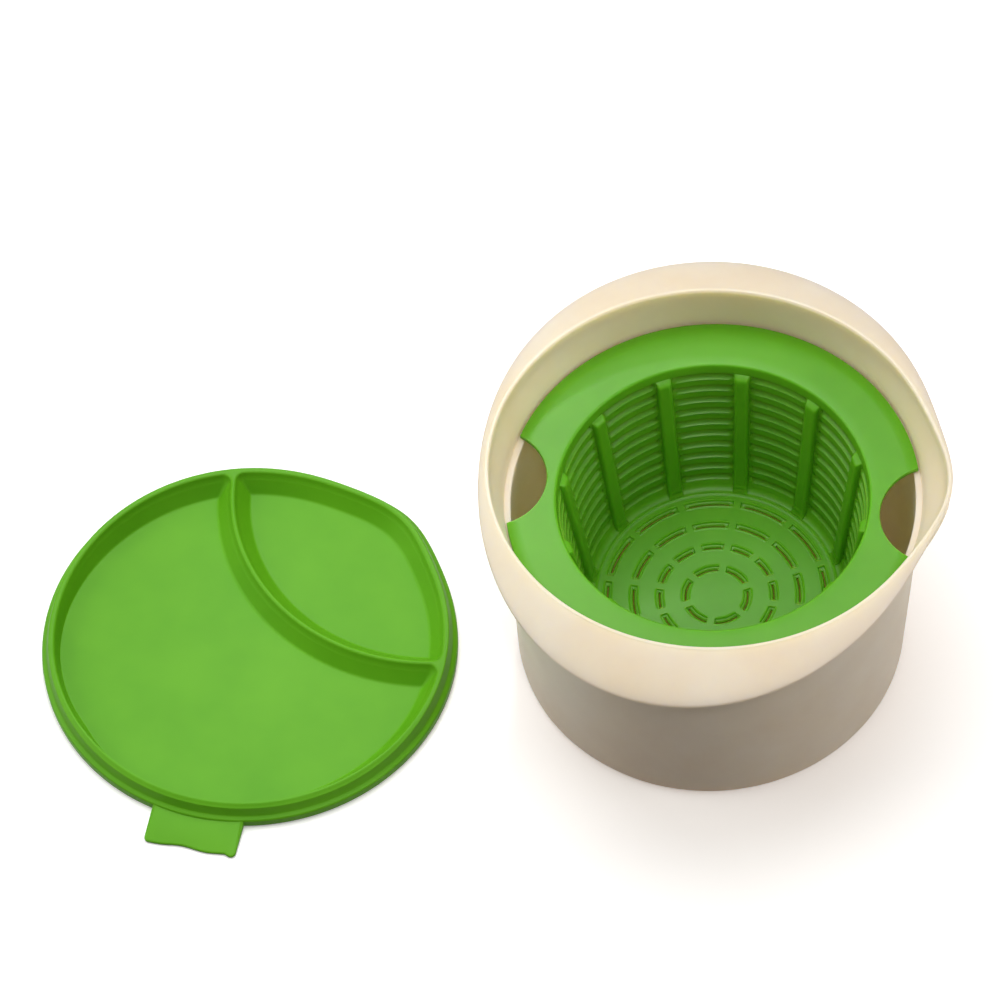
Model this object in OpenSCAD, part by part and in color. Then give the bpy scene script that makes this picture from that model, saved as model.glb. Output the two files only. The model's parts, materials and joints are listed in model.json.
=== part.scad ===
// Curd-draining set for fresh cheese: a spouted container, a strainer basket that
// hangs on a ledge inside it, and a soft lid that lies beside it as a divided tray.
// Millimetres. +Z is up, the table is z = 0, and +X points out over the spout.
// The origin is on the table, under the axis of the basket.

/* [Container body] */
// How much narrower the container is at its foot than under the ledge
body_draft = 3.4; // [0:0.1:10]
// How far the foot sits back from the basket axis, away from the spout
base_setback = 2.7; // [0:0.1:5]
// Rounding between the foot and the side wall
base_round = 4; // [3.5:0.5:8]
// Height of the rim above the table
rim_h = 112; // [90:1:140]
// Wall thickness of the container
wall = 2; // [1.6:0.1:3]
// Width of the ledge that carries the basket
ledge_w = 2.6; // [2:0.1:4]

/* [Container rim] */
// How far the rim flares out past the basket seat towards the spout and the heel
rim_flare_long = 5.2; // [1:0.1:12]
// How far the rim flares out past the basket seat at the two grips
rim_flare_grip = 0.9; // [0.9:0.1:6]
// How far the pouring spout stands out past the rim line
spout_out = 4.6; // [2:0.1:8]
// Half of the angle that the spout spreads over
spout_half_angle = 15; // [10:1:25]

/* [Container grips] */
// Width of the sloping brim at the two grips
grip_w = 17.2; // [10:0.1:25]
// Width of the brim at the heel, opposite the spout
heel_w = 2.6; // [1:0.1:6]
// Width of the bead that runs round the spout
bead_w = 1; // [0.8:0.1:2]
// How much more brim lies on the heel side of each grip than on the spout side
grip_skew = 0.25; // [0:0.05:0.4]
// Downward slope of the brim, as drop over width
brim_slope = 0.5; // [0.2:0.05:0.8]
// Thickness of the brim
brim_t = 2.4; // [1.8:0.1:3.5]

/* [Basket] */
// Radius of the basket mouth
mouth_r = 57; // [45:0.1:75]
// Width of the flat flange round the mouth
flange_w = 18.6; // [10:0.1:26]
// Depth of the flange's upper face below the rim
flange_sink = 20; // [14:0.5:30]
// Thickness of the flange
flange_t = 2; // [1.6:0.1:3]
// How much narrower the basket is at its floor than at its mouth
basket_taper = 8.5; // [2:0.1:14]
// Height of the whey room, from the container's floor to the basket's underside
whey_room_h = 19.9; // [8:0.1:35]
// Wall thickness of the basket
basket_wall = 1.6; // [1.2:0.1:2.4]
// Thickness of the basket floor
basket_floor_t = 1.8; // [1.4:0.1:3]
// Rounding inside the basket between wall and floor
basket_round = 3; // [1:0.5:6]

/* [Basket finger notches] */
// Radius of each finger notch
notch_r = 21; // [14:0.5:26]
// Width of flange left between a notch and the basket mouth
notch_land = 4; // [2:0.1:8]

/* [Basket ribs and slots] */
// Number of ribs inside the wall
rib_count = 12; // [6:1:16]
// Angle from the spout to the first rib
rib_phase = 25.5; // [0:0.5:30]
// Width of each rib
rib_w = 5.8; // [3:0.1:7]
// How far each rib stands in from the wall
rib_in = 2.2; // [1:0.1:3]
// Gap between the flange and the top of each rib
rib_top_gap = 2.5; // [1:0.5:6]
// Number of slots in the wall, one above another
slot_count = 10; // [4:1:10]
// Height of each slot
slot_h = 2.4; // [1.5:0.1:3.5]
// Depth of the first slot's upper edge below the flange's upper face
slot_top = 4.6; // [3.5:0.1:10]
// Height of plain wall left below the last slot
slot_bottom = 4.6; // [3.5:0.1:10]
// Wall left between the end of a slot and a rib
slot_margin = 0.8; // [0.4:0.1:3]

/* [Basket floor slots] */
// Number of rings of slots in the floor
ring_count = 4; // [2:1:4]
// Radius of the innermost ring
ring_first_r = 11.6; // [9:0.1:14]
// Width of plain floor left outside the outermost ring
ring_margin = 7.8; // [5:0.1:12]
// Width of the sunk channel of each ring
channel_w = 2.6; // [1.6:0.1:3.5]
// Depth of the sunk channel
channel_d = 0.7; // [0.3:0.1:1]
// Width of the slit that goes through the channel
slit_w = 1.2; // [0.8:0.1:1.5]
// Width of the bridges between the slots of a ring
bridge_w = 2.6; // [1.5:0.1:4]

/* [Lid] */
// Gap along the spout line between the lid and the container's heel
lid_gap = 11.4; // [9:0.1:60]
// Distance of the lid's centre from the spout line, towards the front
lid_side = 26.1; // [0:0.1:60]
// Height of the outer lip
lip_h = 4; // [3:0.1:6]
// Thickness of the lid's floor
lid_floor_t = 2; // [1.5:0.1:3]
// Height of the sealing ring above the table
seal_h = 10; // [7:0.1:14]
// Thickness of the sealing ring
seal_w = 2.4; // [1.8:0.1:4]
// How far the lip stands out past the sealing ring
seal_inset = 3; // [2:0.1:5]
// Direction of the corner compartment, from the spout line
corner_dir = 49.5; // [0:0.5:90]
// How far the lid's edge swells out at the corner compartment
swell_out = 2.3; // [0:0.1:4]
// Radius of that swelling
swell_r = 60; // [50:1:70]

/* [Lid divider] */
// Radius of the divider's arc
divider_r = 78; // [60:0.1:90]
// Nearest distance from the divider to the lid's centre
divider_near = 17; // [10:0.1:25]
// Thickness of the divider at its top
divider_w = 2.2; // [1.6:0.1:4]
// Thickness of the divider's wider foot
divider_foot_w = 5; // [3:0.1:8]
// Height of the divider's foot above the lid's floor
divider_foot_h = 2.5; // [1:0.1:5]

/* [Lid pull tab] */
// Direction of the pull tab, from the spout line
tab_dir = 264; // [230:1:300]
// Width of the pull tab
tab_w = 35; // [20:0.5:50]
// How far the tab reaches past the lip
tab_out = 11; // [6:0.5:20]
// Thickness of the tab
tab_t = 2.4; // [1.6:0.1:3.5]
// Radius of the tab's corners
tab_corner = 2; // [1:0.5:4]

/* [Clearances] */
// Gap between the flange's edge and the container wall
flange_fit = 0.7; // [0.3:0.1:1.5]
// Gap between the flange and the ledge under it
ledge_fit = 0.2; // [0.1:0.05:0.5]
// Gap between the lid's sealing ring and the container's mouth, when it is put on
lid_fit = 0.7; // [0.3:0.1:1.5]

/* [Hidden] */
$fn = 96;
overlap = 1;                       // how far a cutter reaches past what it cuts
cream = "#F0E4D0";
leaf_green = "#6CB840";
lid_green = "#58AC34";

// Container, worked out
flange_r = mouth_r + flange_w;
flange_h = rim_h - flange_sink;
seat_r = flange_r + flange_fit;
throat_r = seat_r - ledge_w;
base_r = throat_r + wall - body_draft;
rim_long_r = seat_r + rim_flare_long;
rim_short_r = seat_r + rim_flare_grip;
ledge_h = flange_h - flange_t - ledge_fit;
shoulder_h = ledge_h - 4;          // the wall starts to step out for the ledge here
crest_round = 0.9;
around = 72;
step_angle = 360 / around;

// Height fractions that the curved stretches are made of
corner_steps = [0, 30, 60, 90];
function blend(a, b, t) = a + (b - a) * t;
function smooth(t) = t * t * (3 - 2 * t);

// Rim line: an oval with a spout at angle 0
function signed_angle(a) = a > 180 ? a - 360 : a;
function oval(a) = rim_long_r * rim_short_r
    / sqrt(pow(rim_short_r * cos(a), 2) + pow(rim_long_r * sin(a), 2));
function rim_r(a) = oval(a) + spout_out * exp(-pow(signed_angle(a) / spout_half_angle, 2));

// Brim: wide at the grips, narrow at the heel, a bead at the spout
function brim_w(a) = bead_w + grip_w * pow(sin(a), 2) * (1 - grip_skew * cos(a))
    + (heel_w - bead_w) * (1 - cos(a)) / 2;
function brim_drop(a) = brim_slope * (brim_w(a) - bead_w);
function brim_edge(a) = rim_r(a) + brim_w(a);

// One vertical section of the container as [radius, height, share of the setback]
function section(a) = let (
    rim = rim_r(a),
    out_wall = throat_r + wall,
    neck = rim + crest_round,
    edge = brim_edge(a),
    drop = brim_drop(a),
    rise = rim_h - brim_t - ledge_h
) concat(
    [for (t = corner_steps)
        [base_r - base_round * (1 - sin(t)), base_round * (1 - cos(t)), 1]],
    [for (t = [0.25, 0.5, 0.75, 1])
        [blend(base_r, out_wall, t), blend(base_round, shoulder_h, t), 1 - t]],
    [for (t = [0.25, 0.5, 0.75])
        [blend(out_wall, seat_r + wall, smooth(t)), blend(shoulder_h, ledge_h, t), 0]],
    [for (t = [0, 0.3, 0.6, 0.85])
        [blend(seat_r + wall, neck, smooth(t)), ledge_h + t * rise, 0]],
    [[neck, rim_h - brim_t - crest_round, 0]],
    [[blend(neck, edge, 0.5), rim_h - brim_t - drop * 0.45, 0]],
    [[edge - 0.4, rim_h - brim_t - drop + 0.5, 0]],
    [[edge, rim_h - brim_t / 2 - drop, 0]],
    [[edge - 0.5, rim_h - drop - 0.6, 0]],
    [[blend(neck, edge, 0.5), rim_h - drop * 0.45 - 0.35, 0]],
    [[rim + 0.5, rim_h, 0]],
    [[rim - 0.5, rim_h, 0]],
    [[rim - crest_round, rim_h - crest_round, 0]],
    [for (t = [0.7, 0.35, 0])
        [blend(seat_r, rim - crest_round, smooth(t)), blend(ledge_h + 3, rim_h - crest_round, t), 0]],
    [[seat_r, ledge_h, 0], [throat_r, ledge_h, 0]],
    [for (t = [1, 0.75, 0.5, 0.25, 0])
        [blend(base_r - wall, throat_r, t), blend(base_round, shoulder_h, t), 1 - t]],
    [for (t = [60, 30, 0])
        [base_r - wall - (base_round - wall) * (1 - sin(t)),
         wall + (base_round - wall) * (1 - cos(t)), 1]]
);

module container() {
    rings = len(section(0));
    points = [for (i = [0 : around - 1]) let (a = i * step_angle)
        for (p = section(a)) [p[0] * cos(a) - base_setback * p[2], p[0] * sin(a), p[1]]];
    skin = [for (i = [0 : around - 1], k = [0 : rings - 2])
        let (n = (i + 1) % around)
        [i * rings + k, i * rings + k + 1, n * rings + k + 1, n * rings + k]];
    foot = [for (i = [0 : around - 1]) i * rings];
    floor_inside = [for (i = [around - 1 : -1 : 0]) i * rings + rings - 1];
    color(cream) polyhedron(points, concat([foot], [floor_inside], skin));
}

// Basket, worked out
basket_floor_r = mouth_r - basket_taper;
floor_under = wall + whey_room_h;
floor_top = floor_under + basket_floor_t;
basket_depth = flange_h - floor_top;
wall_lean = (mouth_r - basket_floor_r) / basket_depth;
function inner_r(z) = mouth_r - wall_lean * (flange_h - z);
rib_top = flange_h - flange_t - rib_top_gap;
rib_step = 360 / rib_count;
slot_pitch = (basket_depth - slot_top - slot_h - slot_bottom) / (slot_count - 1);
ring_pitch = (basket_floor_r - ring_margin - ring_first_r) / (ring_count - 1);
notch_centre = mouth_r + notch_land + notch_r;

// The turned shell: flange, leaning wall, rounded corner and floor
module basket_shell() {
    rotate_extrude()
        polygon(concat(
            [[0, floor_under]],
            [for (t = [0 : 15 : 90])
                [inner_r(floor_top) + basket_wall - basket_round * (1 - sin(t)),
                 floor_under + basket_round * (1 - cos(t))]],
            [[inner_r(flange_h - flange_t) + basket_wall, flange_h - flange_t],
             [flange_r, flange_h - flange_t], [flange_r, flange_h], [mouth_r + 1, flange_h],
             [mouth_r + 0.3, flange_h - 0.3], [mouth_r, flange_h - 1]],
            [for (t = [90 : -15 : 0])
                [inner_r(floor_top) - basket_round * (1 - sin(t)),
                 floor_top + basket_round * (1 - cos(t))]],
            [[0, floor_top]]));
}

// One wedge for each bay between two ribs, less the width kept beside the ribs
module bays(keep) {
    for (i = [0 : rib_count - 1])
        rotate(rib_phase + i * rib_step)
            translate([0, -keep / 2, floor_under - overlap])
                cube([flange_r, keep, basket_depth + flange_t + 2 * overlap]);
}

module wall_slots() {
    difference() {
        for (i = [0 : slot_count - 1])
            let (z = flange_h - slot_top - slot_h - i * slot_pitch)
                rotate_extrude()
                    translate([inner_r(z) - overlap, z])
                        square([basket_wall + 2 * overlap, slot_h]);
        bays(rib_w + 2 * slot_margin);
    }
}

// A rib follows the leaning wall, in a plane through the axis
module rib() {
    bite = basket_wall / 2;
    rotate([90, 0, 0])
        linear_extrude(rib_w, center = true)
            polygon([
                [inner_r(floor_top) - rib_in, floor_top - basket_floor_t / 2],
                [inner_r(floor_top) + bite - basket_round / 2, floor_top - basket_floor_t / 2],
                [inner_r(floor_top + basket_round) + bite, floor_top + basket_round],
                [inner_r(rib_top) + bite, rib_top],
                [inner_r(rib_top) - rib_in * 0.4, rib_top],
                [inner_r(rib_top) - rib_in, rib_top - rib_in * 0.8]
            ]);
}

module ring_band(r, w, low, high) {
    translate([0, 0, low])
        difference() {
            cylinder(r = r + w / 2, h = high - low);
            translate([0, 0, -overlap]) cylinder(r = r - w / 2, h = high - low + 2 * overlap);
        }
}

module floor_slots() {
    difference() {
        for (i = [0 : ring_count - 1])
            let (r = ring_first_r + i * ring_pitch) {
                ring_band(r, channel_w, floor_top - channel_d, floor_top + overlap);
                ring_band(r, slit_w, floor_under - overlap, floor_top);
            }
        for (i = [0 : rib_count - 1])
            rotate(rib_phase + i * rib_step)
                translate([ring_first_r + ring_pitch / 2, -bridge_w / 2, floor_under - 2 * overlap])
                    cube([flange_r, bridge_w, basket_floor_t + 4 * overlap]);
        for (i = [0 : 2 : rib_count - 1])
            rotate(rib_phase + i * rib_step)
                translate([0, -bridge_w / 2, floor_under - 2 * overlap])
                    cube([ring_first_r + ring_pitch / 2 + overlap, bridge_w,
                          basket_floor_t + 4 * overlap]);
    }
}

module finger_notches() {
    for (side = [-1, 1])
        translate([side * notch_centre, 0, flange_h - flange_t - overlap])
            cylinder(r = notch_r, h = flange_t + 2 * overlap);
}

module strainer_basket() {
    color(leaf_green) {
        difference() {
            basket_shell();
            finger_notches();
            wall_slots();
            floor_slots();
        }
        for (i = [0 : rib_count - 1])
            rotate(rib_phase + i * rib_step) rib();
    }
}

// Lid, worked out
lid_r = rim_short_r - crest_round - lid_fit + seal_inset;
lid_x = -(rim_long_r + heel_w + lid_gap + lid_r);
lid_y = -lid_side;
swell_centre = lid_r + swell_out - swell_r;
divider_centre = divider_r + divider_near;

// Plan outline of the lid, drawn in by an inset
module lid_outline(inset) {
    circle(r = lid_r - inset);
    rotate(corner_dir) translate([swell_centre, 0]) circle(r = swell_r - inset);
}

module divider_plan(w) {
    intersection() {
        rotate(corner_dir)
            translate([divider_centre, 0])
                difference() {
                    circle(r = divider_r + w / 2);
                    circle(r = divider_r - w / 2);
                }
        lid_outline(seal_inset + seal_w / 2);
    }
}

module tab_plan() {
    reach = lid_r + tab_out;
    root = sqrt(pow(lid_r, 2) - pow(tab_w / 2, 2)) - seal_inset / 2;
    rotate(tab_dir) {
        translate([root, -tab_w / 2]) square([reach - tab_corner - root, tab_w]);
        translate([root, tab_corner - tab_w / 2])
            square([reach - root, tab_w - 2 * tab_corner]);
        for (side = [-1, 1])
            translate([reach - tab_corner, side * (tab_w / 2 - tab_corner)])
                circle(r = tab_corner);
    }
}

module lid() {
    color(lid_green)
        translate([lid_x, lid_y, 0]) {
            linear_extrude(lid_floor_t) lid_outline(0);
            linear_extrude(lip_h)
                difference() {
                    lid_outline(0);
                    lid_outline(seal_inset + seal_w);
                }
            linear_extrude(seal_h)
                difference() {
                    lid_outline(seal_inset);
                    lid_outline(seal_inset + seal_w);
                }
            linear_extrude(seal_h - 0.4) divider_plan(divider_w);
            linear_extrude(lid_floor_t + divider_foot_h) divider_plan(divider_foot_w);
            linear_extrude(tab_t) tab_plan();
        }
}

container();
strainer_basket();
lid();
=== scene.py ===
import json
import math
from collections import namedtuple

import bmesh
import bpy
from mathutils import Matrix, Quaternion, Vector


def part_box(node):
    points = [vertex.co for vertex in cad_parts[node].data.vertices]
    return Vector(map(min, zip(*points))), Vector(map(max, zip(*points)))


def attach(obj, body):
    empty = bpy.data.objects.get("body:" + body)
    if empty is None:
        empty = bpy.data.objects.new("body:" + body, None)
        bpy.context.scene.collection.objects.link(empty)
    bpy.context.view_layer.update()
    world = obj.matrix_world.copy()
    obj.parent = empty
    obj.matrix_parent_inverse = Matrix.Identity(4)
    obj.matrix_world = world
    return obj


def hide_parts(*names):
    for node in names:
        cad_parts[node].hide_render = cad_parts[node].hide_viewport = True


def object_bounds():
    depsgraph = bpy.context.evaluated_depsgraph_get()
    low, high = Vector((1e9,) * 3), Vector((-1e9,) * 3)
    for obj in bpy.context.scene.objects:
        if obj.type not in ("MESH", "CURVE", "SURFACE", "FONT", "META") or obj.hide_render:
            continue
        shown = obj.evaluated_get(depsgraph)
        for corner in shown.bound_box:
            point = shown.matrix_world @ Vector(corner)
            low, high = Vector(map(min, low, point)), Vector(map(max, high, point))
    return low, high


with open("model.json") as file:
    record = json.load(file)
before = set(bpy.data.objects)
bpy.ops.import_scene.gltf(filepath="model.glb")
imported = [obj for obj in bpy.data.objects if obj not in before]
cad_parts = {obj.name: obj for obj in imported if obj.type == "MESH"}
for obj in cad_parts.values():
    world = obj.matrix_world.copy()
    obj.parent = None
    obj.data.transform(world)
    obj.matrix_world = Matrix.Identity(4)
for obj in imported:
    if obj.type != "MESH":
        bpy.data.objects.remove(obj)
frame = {"record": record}
cad_low, cad_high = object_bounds()

# A curd-draining set: a cream container with a green strainer basket hanging in it,
# and a soft green lid lying beside it as a divided tray. The pieces are worked out in
# millimetres and radians, and closed_mesh() turns them into metres. The studio at the
# end is in metres.
MM = 0.001


def box_mm(node):
    """The low and high corners of a frame node's box."""
    low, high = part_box(node)
    return [v / MM for v in low], [v / MM for v in high]


def rad(degrees):
    return math.radians(degrees)


def blend(a, b, t):
    """From a to b as t goes from 0 to 1."""
    return a + (b - a) * t


def smooth(t):
    """Eases t in and out between 0 and 1."""
    return t * t * (3 - 2 * t)


def clamp(t):
    return max(0.0, min(1.0, t))


def hump(distance, spread):
    """A bell: 1 at no distance, and nearly nothing beyond two spreads."""
    return math.exp(-((distance / spread) ** 2))


def turn_to(angle, centre):
    """How far angle lies from centre, from minus half a turn to half a turn."""
    return (angle - centre + math.pi) % math.tau - math.pi


# ---------------------------------------------------------------- sizes, from the frame
sieve_low, sieve_high = box_mm("strainer_basket")
RIM_H = box_mm("container")[1][2]
FLANGE_H = sieve_high[2]           # the flange's top, level with the basket's mouth
FLOOR_UNDER = sieve_low[2]
FLANGE_R = sieve_high[1]
SEAL_H = box_mm("lid")[1][2]       # the top of the lid's sealing ring, as the lid lies
lid_base = next(m for m in frame["record"]["mounts"] if m["name"] == "lid_base")
LID_X, LID_Y = (v / MM for v in lid_base["pos_m"][:2])

# Container
WALL = 2.0
LEDGE_W = 2.6                      # the seat under the basket's flange
BODY_DRAFT = 3.4                   # the body is this much narrower at its base
BASE_SETBACK = 2.7                 # the base lies this far back from the basket's axis
BASE_ROUND = 4.0
FOOT_LIFT = 0.6                    # the base is hollowed this much inside its foot ring
FOOT_W = 6.0
FLANGE_FIT = 0.7                   # the gap round the flange
LEDGE_FIT = 0.2                    # the gap under it
FLANGE_T = 2.0
SHOULDER_DROP = 4                  # from the ledge down to the top of the straight body
RIM_FLARE_LONG = 5.2               # the rim's reach past the seat, at spout and heel
RIM_FLARE_GRIP = 0.9               # and at the two grips
SPOUT_OUT = 4.6
SPOUT_HALF = rad(15)
GRIP_W = 17.2
GRIP_SKEW = 0.25                   # the grips are this much wider towards the heel
HEEL_W = 2.6
BEAD_W = 1.0                       # the brim is only a bead at the spout
BRIM_SLOPE = 0.5                   # the brim's fall for each millimetre of its width
BRIM_T = 2.4
CREST = 0.9                        # half the width of the ridge along the rim
SEAT_R = FLANGE_R + FLANGE_FIT
THROAT_R = SEAT_R - LEDGE_W
BASE_R = THROAT_R + WALL - BODY_DRAFT
FOOT_R = BASE_R - BASE_ROUND - FOOT_W
RIM_LONG_R = SEAT_R + RIM_FLARE_LONG
RIM_GRIP_R = SEAT_R + RIM_FLARE_GRIP
LEDGE_H = FLANGE_H - FLANGE_T - LEDGE_FIT
SHOULDER_H = LEDGE_H - SHOULDER_DROP

# Strainer basket
MOUTH_R = 57.0
FLOOR_R = 48.5
SIEVE_WALL = 1.6
SIEVE_FLOOR_T = 1.8
SIEVE_ROUND = 3.0                  # the round between the wall and the floor
NOTCH_R = 21.0
NOTCH_LAND = 4.0                   # what is left of the flange between notch and mouth
RIBS = 12
RIB_PHASE = rad(25.5)
RIB_STEP = math.tau / RIBS
RIB_W = 5.8
RIB_IN = 2.2                       # how far a rib stands into the bowl
RIB_TOP_GAP = 2.5                  # from the flange's underside down to the ribs
SLOTS = 10
SLOT_H = 2.4
SLOT_TOP = 4.6                     # from the flange's top down to the first slot
SLOT_BOTTOM = 4.6                  # from the last slot down to the floor
SLOT_MARGIN = 0.8                  # from a rib's side to the slots beside it
RINGS = 4
RING_FIRST_R = 11.6
RING_MARGIN = 7.8                  # from the last ring of slits out to the wall's foot
CHANNEL_W = 2.6                    # each slit lies in a sunk channel
CHANNEL_D = 0.7
SLIT_W = 1.2
BRIDGE_W = 2.6
FLOOR_TOP = FLOOR_UNDER + SIEVE_FLOOR_T
RIB_TOP = FLANGE_H - FLANGE_T - RIB_TOP_GAP
SLOT_PITCH = (FLANGE_H - FLOOR_TOP - SLOT_TOP - SLOT_H - SLOT_BOTTOM) / (SLOTS - 1)
RING_PITCH = (FLOOR_R - RING_MARGIN - RING_FIRST_R) / (RINGS - 1)
NOTCH_CENTRE = MOUTH_R + NOTCH_LAND + NOTCH_R

# Lid
LID_R = 78.6
LIP_H = 4.0                        # the thin lip outside the sealing ring
LID_FLOOR_T = 2.0
SEAL_W = 2.4
SEAL_INSET = 3.0                   # from the lid's edge in to the sealing ring
CORNER_DIR = rad(49.5)             # towards the corner compartment
DIVIDER_R = 78.0
DIVIDER_NEAR = 17.0                # from the lid's middle to the divider
DIVIDER_W = 2.2
TAB_DIR = rad(264)
TAB_W = 35.0
TAB_OUT = 11.0
TAB_T = 2.4
TAB_CORNER = 2.0
RING_IN = LID_R - SEAL_INSET - SEAL_W
RING_OUT = LID_R - SEAL_INSET
DIVIDER_CENTRE = DIVIDER_R + DIVIDER_NEAR


# ---------------------------------------------------------------- making meshes
def closed_mesh(name, points, faces):
    """A mesh from points in millimetres, with its normals outward and no loose points."""
    mesh = bpy.data.meshes.new(name)
    mesh.from_pydata([tuple(v * MM for v in p) for p in points], [], faces)
    work = bmesh.new()
    work.from_mesh(mesh)
    bmesh.ops.delete(work, geom=[v for v in work.verts if not v.link_faces], context="VERTS")
    bmesh.ops.recalc_face_normals(work, faces=work.faces)
    work.to_mesh(mesh)
    work.free()
    return mesh


def place(name, data):
    """An object in the scene, holding a mesh, a light or a camera."""
    thing = bpy.data.objects.new(name, data)
    bpy.context.collection.objects.link(thing)
    return thing


def add_piece(name, points, faces, body, node):
    """A smooth closed piece that stands for a node and rides on its body."""
    mesh = closed_mesh(name, points, faces)
    mesh.shade_smooth()
    piece = place(name, mesh)
    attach(piece, body)
    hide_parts(node)
    return piece


def rounded_path(corners, steps=5):
    """Points along corners of (radius, height, rounding), each rounding as a short curve."""
    least_reach, most_reach = 0.02, 0.48        # a length, and a share of the side it is on
    path = []
    for n, (r, z, rounding) in enumerate(corners):
        here = Vector((r, z))
        if rounding == 0:
            path.append(here)
            continue
        before = Vector(corners[n - 1][:2]) - here
        after = Vector(corners[n + 1][:2]) - here
        reach = rounding / max(math.tan(before.angle(after) / 2), 0.001)
        reach = min(max(reach, least_reach), most_reach * before.length,
                    most_reach * after.length)
        start = here + before.normalized() * reach
        end = here + after.normalized() * reach
        for k in range(steps + 1):
            t = k / steps
            path.append(start * (1 - t) ** 2 + here * 2 * t * (1 - t) + end * t * t)
    return path


def strip(first, second):
    """Quads between two closed loops of point numbers."""
    count = len(first)
    return [(first[k], first[(k + 1) % count], second[(k + 1) % count], second[k])
            for k in range(count)]


def sleeve(loops):
    """Quads along a row of closed loops."""
    return [quad for a, b in zip(loops, loops[1:]) for quad in strip(a, b)]


def fan(loop, pole):
    """Triangles from a closed loop to one point."""
    return [(loop[k], loop[(k + 1) % len(loop)], pole) for k in range(len(loop))]


# ---------------------------------------------------------------- container
AROUND = 288                       # columns round the container
FOOT_RUN = 0.8                     # the sloping side of the hollow under the base
FOOT_EDGE = 0.5
SHOULDER_ROUND = 6
HAUNCH_ROUND = 4                   # where the wall turns from the throat to the seat
SEAT_ROUND = 0.6
LEDGE_EDGE = 0.5
SIDE_EASE = 2                      # the side ends this far under the brim
INSIDE_EASE = 1.5                  # the inside wall starts and ends this far from its corners
CREST_FLAT = 0.45                  # half the flat on top of the rim's ridge
CREST_STEP = 0.42                  # the ridge stands this much above the brim
CREST_FOOT = 0.3                   # roundings at the ridge's foot, outer and inner edge
CREST_OUTER = 0.35
CREST_INNER = 0.4
BRIM_LOW = 0.45                    # the brim's top starts this far under the rim
BRIM_CURVE = 0.28                  # the share of the brim's fall that comes late
BRIM_LEAST = 0.04                  # what the brim keeps where it is only a bead
BRIM_FILLET = 0.14                 # the fillet under the brim, as a share of the width
EDGE_TUCK = 0.3                    # the brim's edge leans in by this underneath
EDGE_DROP = 0.6                    # the edge starts this far under the brim's top
EDGE_UNDER = 0.4                   # roundings under the brim's edge and on top of it
EDGE_OVER = 1.3
# Shares of the way along the side, out over the brim and down the inside
SIDE_PLACES = (0.1, 0.25, 0.4, 0.55, 0.7, 0.85)
BRIM_PLACES = (0.86, 0.72, 0.58, 0.44, 0.3, 0.16)
INSIDE_PLACES = (1, 0.86, 0.72, 0.58, 0.44, 0.3, 0.15, 0)


def rim_r(angle):
    """The rim line: an oval with the spout at angle 0."""
    oval = RIM_LONG_R * RIM_GRIP_R / math.hypot(RIM_GRIP_R * math.cos(angle),
                                                RIM_LONG_R * math.sin(angle))
    return oval + SPOUT_OUT * hump(turn_to(angle, 0), SPOUT_HALF)


def brim_w(angle):
    """Wide at the two grips, narrow at the heel, a bead at the spout."""
    grips = GRIP_W * math.sin(angle) ** 2 * (1 - GRIP_SKEW * math.cos(angle))
    return BEAD_W + grips + (HEEL_W - BEAD_W) * (1 - math.cos(angle)) / 2


def container_section(angle):
    """From the middle of the foot, up the outside, over the rim and down to the floor."""
    rim, width = rim_r(angle), brim_w(angle)
    neck, edge = rim + CREST, rim + width
    fall = BRIM_SLOPE * (width - BEAD_W)
    under = RIM_H - BRIM_T
    side = [(blend(SEAT_R + WALL, neck, smooth(t)), blend(LEDGE_H, under - SIDE_EASE, t), 0)
            for t in SIDE_PLACES]
    brim_top = [(blend(neck, edge, t), RIM_H - BRIM_LOW - fall * blend(t, t * t, BRIM_CURVE), 0)
                for t in BRIM_PLACES]
    inside = [(blend(SEAT_R, rim - CREST, smooth(t)),
               blend(LEDGE_H + INSIDE_EASE, RIM_H - INSIDE_EASE, t), 0)
              for t in INSIDE_PLACES]
    return rounded_path([
        (0, FOOT_LIFT, 0),
        (FOOT_R - FOOT_RUN, FOOT_LIFT, FOOT_EDGE),
        (FOOT_R, 0, FOOT_EDGE),
        (BASE_R, 0, BASE_ROUND),
        (THROAT_R + WALL, SHOULDER_H, SHOULDER_ROUND),
        (SEAT_R + WALL, LEDGE_H, HAUNCH_ROUND),
        *side,
        (neck, under, BRIM_LEAST + BRIM_FILLET * (edge - neck)),
        (max(edge - EDGE_TUCK, neck + BRIM_LEAST), under - fall + EDGE_TUCK, EDGE_UNDER),
        (edge, RIM_H - fall - EDGE_DROP, EDGE_OVER),
        *brim_top,
        (neck, RIM_H - CREST_STEP, CREST_FOOT),
        (rim + CREST_FLAT, RIM_H, CREST_OUTER),
        (rim - CREST_FLAT, RIM_H, CREST_INNER),
        (rim - CREST, RIM_H - CREST, CREST_INNER),
        *inside,
        (SEAT_R, LEDGE_H, SEAT_ROUND),
        (THROAT_R, LEDGE_H, LEDGE_EDGE),
        (THROAT_R, SHOULDER_H, HAUNCH_ROUND),
        (BASE_R - WALL, WALL, BASE_ROUND),
        (0, WALL, 0),
    ])


def setback(height):
    """The foot sits back from the basket's axis; the shift has gone at the shoulder."""
    return BASE_SETBACK * (1 - clamp((height - BASE_ROUND) / (SHOULDER_H - BASE_ROUND)))


def make_container():
    """The section swept round the axis, closed in the middle of its foot and its floor."""
    points, loops = [], []
    for k in range(AROUND):
        angle = math.tau * k / AROUND
        section = container_section(angle)
        for j, (r, z) in enumerate(section[1:-1]):
            if k == 0:
                loops.append([])
            loops[j].append(len(points))
            points.append((r * math.cos(angle) - setback(z), r * math.sin(angle), z))
    faces = sleeve(loops)
    for loop, height in ((loops[0], FOOT_LIFT), (loops[-1], WALL)):
        points.append((-BASE_SETBACK, 0, height))
        faces += fan(loop, len(points) - 1)
    return add_piece("container_moulding", points, faces, "container", "container")


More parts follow.
